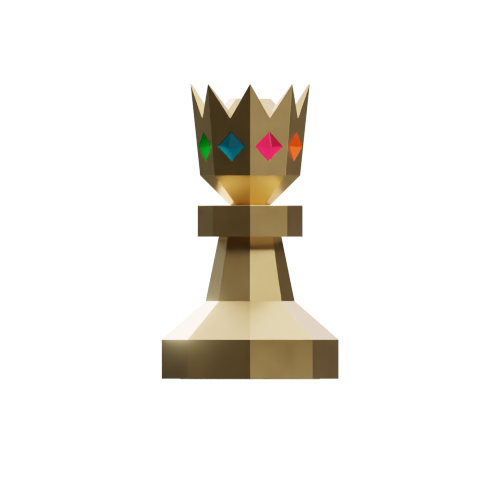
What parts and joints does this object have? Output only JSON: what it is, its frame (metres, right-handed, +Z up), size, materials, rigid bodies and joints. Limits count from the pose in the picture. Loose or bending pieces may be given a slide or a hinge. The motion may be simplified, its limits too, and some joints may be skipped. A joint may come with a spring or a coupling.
{
  "type": "chess pawn",
  "caption": "Faceted chess pawn in polished gilt metal: weighted felt-footed base, tapering stem, collar and ball head that carries a jewelled crown which lifts off.",
  "frame": {"origin": "middle of the felt foot, on the surface that the pawn stands on", "axes": "+Z up the pawn's axis to the crown, -Y the front of the picture, +X its right"},
  "size_m": [0.03, 0.03, 0.0502],
  "materials": {
    "gilt": "polished and gold plated",
    "steel": "zinc plated",
    "iron": "as cast, turned on the side",
    "felt": "pressed felt",
    "gem_green": "cut and foil backed",
    "gem_blue": "cut and foil backed",
    "gem_pink": "cut and foil backed",
    "gem_orange": "cut and foil backed"
  },
  "bodies": {
    "pawn": {"base": "gilt", "stem": "gilt", "collar": "gilt", "head": "gilt", "ballast": "iron", "felt_pad": "felt", "tie_rod": "steel", "tie_nut": "steel", "lock_washer": "steel", "washer": "steel"},
    "crown": {"crown": "gilt", "gem_left_front": "gem_green", "gem_front_left": "gem_blue", "gem_front_right": "gem_pink", "gem_right_front": "gem_orange", "gem_right_back": "gem_green", "gem_back_right": "gem_blue", "gem_back_left": "gem_pink", "gem_left_back": "gem_orange"}
  },
  "joints": [
    {"name": "crown_lift", "type": "slide", "parent": "pawn", "child": "crown", "axis": [0, 0, 1], "range_m": [0, 0.016]}
  ]
}
